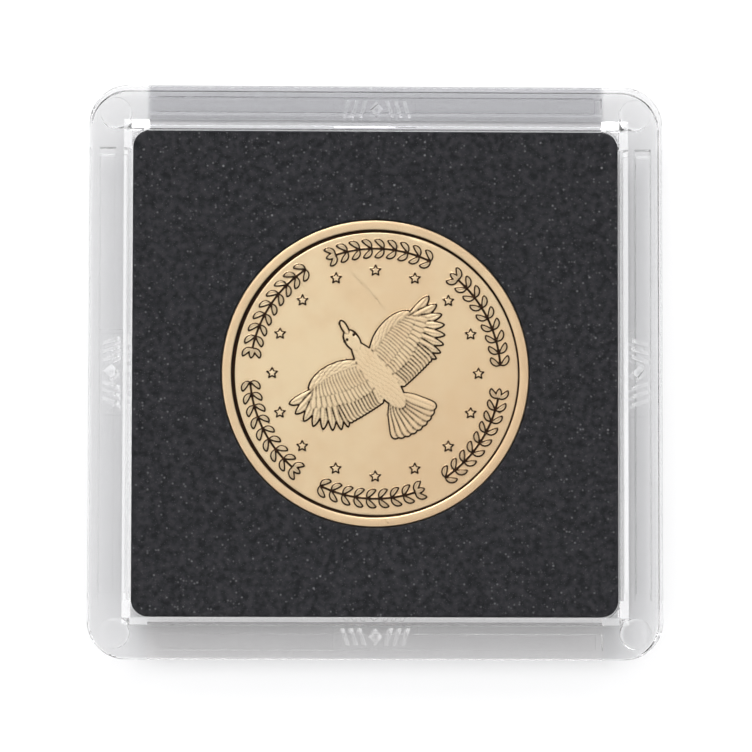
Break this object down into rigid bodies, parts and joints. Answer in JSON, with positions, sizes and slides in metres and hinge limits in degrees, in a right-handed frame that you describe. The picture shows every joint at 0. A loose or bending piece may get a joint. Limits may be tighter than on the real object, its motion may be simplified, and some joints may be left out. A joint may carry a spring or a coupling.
{
  "type": "coin capsule",
  "caption": "Square clear snap-together case in two halves, with tongues, grooves and corner pegs, closed round a dark foam gasket that holds one brass-coloured coin.",
  "frame": {"origin": "centre of the square on the back rail's outer face, where the case lies flat", "axes": "+Z out of the front window over the coin's shown face, +Y towards the top edge of the case as shown, +X to the viewer's right"},
  "size_m": [0.0492, 0.0492, 0.0063],
  "materials": {
    "clear_back": "clear moulded polystyrene, polished panes",
    "foam": "fine closed-cell foam, matte, pale specks",
    "coin_brass": "struck manganese-brass, satin field, brighter relief",
    "clear_front": "clear moulded polystyrene, polished panes"
  },
  "bodies": {
    "back_half": {"back_shell": "clear_back"},
    "gasket": {"foam_gasket": "foam"},
    "coin_piece": {"coin": "coin_brass"},
    "front_half": {"front_shell": "clear_front"}
  },
  "joints": [
    {"name": "front_shell_lift", "type": "slide", "parent": "back_half", "child": "front_half", "axis": [0, 0, 1], "range_m": [0, 0.03]},
    {"name": "gasket_lift", "type": "slide", "parent": "back_half", "child": "gasket", "axis": [0, 0, 1], "range_m": [0, 0.01]},
    {"name": "coin_lift", "type": "slide", "parent": "back_half", "child": "coin_piece", "axis": [0, 0, 1], "range_m": [0, 0.02]}
  ],
  "couplings": [
    {"joint": "gasket_lift", "follows": "front_shell_lift", "ratio": 0.33333},
    {"joint": "coin_lift", "follows": "front_shell_lift", "ratio": 0.66667}
  ]
}
